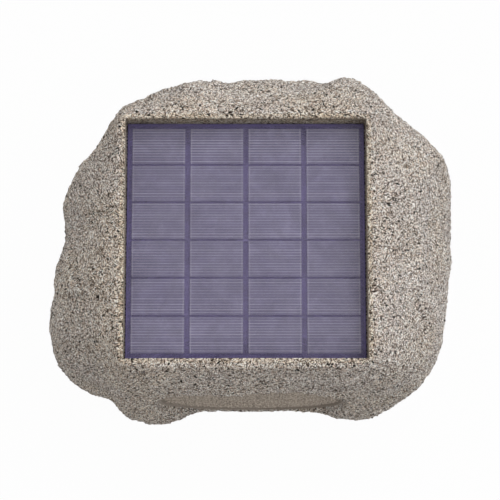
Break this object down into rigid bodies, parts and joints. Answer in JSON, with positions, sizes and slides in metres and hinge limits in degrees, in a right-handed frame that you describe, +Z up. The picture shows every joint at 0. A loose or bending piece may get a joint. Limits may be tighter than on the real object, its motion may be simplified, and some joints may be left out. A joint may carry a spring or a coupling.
{
  "type": "rock speaker",
  "caption": "Garden loudspeaker in a hollow rock shaped shell, with a solar panel in its top, a mesh grille in front and a control panel with a charging port at the back.",
  "frame": {"origin": "on the floor under the middle of the rock", "axes": "+Z up, the grille in front faces -Y, the control panel at the back faces +Y"},
  "size_m": [0.2501, 0.2114, 0.19],
  "materials": {
    "stone_resin": "moulded resin with a speckled grey-brown stone look",
    "mesh": "fine mesh painted in the stone's colour",
    "frame_plastic": "plain matt plastic in the stone's colour",
    "cell": "violet-grey silicon with fine pale lines",
    "panel_board": "dark indigo laminate",
    "clear_cover": "clear moulded sheet",
    "foam": "black foam",
    "black_rubber": "matt black rubber",
    "black_steel": "black paint on pressed steel",
    "zinc_steel": "zinc plated",
    "ferrite": "dark sintered ferrite",
    "copper_coil": "enamelled copper wire on a former",
    "cone_paper": "pressed black fibre",
    "spider_cloth": "resin treated cloth",
    "dark_plastic": "fine textured dark plastic",
    "cell_wrap": "shrink sleeve",
    "circuit_board": "green solder mask",
    "white_plastic": "off-white plastic",
    "aluminium": "plain",
    "clear_lens": "clear plastic",
    "lead_sheath": "black sheath"
  },
  "bodies": {
    "speaker": {"rock_shell": "stone_resin", "panel_tape": "foam", "solar_board": "panel_board", "solar_cells": "cell", "solar_cover": "clear_cover", "lead_grommet": "black_rubber", "grille_frame": "frame_plastic", "grille_mesh": "mesh", "driver_gasket": "foam", "driver_basket": "black_steel", "driver_top_plate": "zinc_steel", "driver_magnet": "ferrite", "driver_yoke": "zinc_steel", "driver_surround": "black_rubber", "driver_spider": "spider_cloth", "driver_terminals": "dark_plastic", "driver_screws": "zinc_steel", "base_plate": "dark_plastic", "base_seal": "foam", "base_screws": "zinc_steel", "foot_back_right": "black_rubber", "foot_back_left": "black_rubber", "foot_front_left": "black_rubber", "foot_front_right": "black_rubber", "battery_holder": "dark_plastic", "battery_cells": "cell_wrap", "battery_screws": "zinc_steel", "main_board": "circuit_board", "board_screws": "zinc_steel", "board_connectors": "white_plastic", "board_capacitors": "aluminium", "wireless_module": "aluminium", "heat_sink": "aluminium", "control_plate": "dark_plastic", "control_seal": "foam", "control_screws": "zinc_steel", "switch_board": "circuit_board", "switch_board_screws": "zinc_steel", "switch_bodies": "dark_plastic", "switch_connector": "white_plastic", "status_lens": "clear_lens", "status_light": "white_plastic", "charge_socket": "zinc_steel", "solar_lead": "lead_sheath", "speaker_lead": "lead_sheath", "battery_lead": "lead_sheath", "control_lead": "lead_sheath"},
    "diaphragm": {"driver_cone": "cone_paper", "dust_cap": "cone_paper", "voice_coil": "copper_coil"},
    "port_flap": {"port_cover": "black_rubber"},
    "power_key": {"power_button": "black_rubber", "power_plunger": "dark_plastic"},
    "pairing_key": {"pairing_button": "black_rubber", "pairing_plunger": "dark_plastic"},
    "volume_down_key": {"volume_down_button": "black_rubber", "volume_down_plunger": "dark_plastic"},
    "volume_up_key": {"volume_up_button": "black_rubber", "volume_up_plunger": "dark_plastic"}
  },
  "joints": [
    {"name": "cone_travel", "type": "slide", "parent": "speaker", "child": "diaphragm", "axis": [0, -0.999, 0.0436], "range_m": [-0.002, 0.002], "stiffness_N_per_m": 1500, "deforming": ["driver_surround", "driver_spider"]},
    {"name": "power_press", "type": "slide", "parent": "speaker", "child": "power_key", "axis": [0, -1, 0], "range_m": [0, 0.0005], "stiffness_N_per_m": 1500},
    {"name": "pairing_press", "type": "slide", "parent": "speaker", "child": "pairing_key", "axis": [0, -1, 0], "range_m": [0, 0.0005], "stiffness_N_per_m": 1500},
    {"name": "volume_down_press", "type": "slide", "parent": "speaker", "child": "volume_down_key", "axis": [0, -1, 0], "range_m": [0, 0.0005], "stiffness_N_per_m": 1500},
    {"name": "volume_up_press", "type": "slide", "parent": "speaker", "child": "volume_up_key", "axis": [0, -1, 0], "range_m": [0, 0.0005], "stiffness_N_per_m": 1500},
    {"name": "flap_hinge", "type": "hinge", "parent": "speaker", "child": "port_flap", "pos_m": [-0.025, 0.09555, 0.064], "axis": [1, 0, 0], "range_deg": [0, 105]}
  ]
}
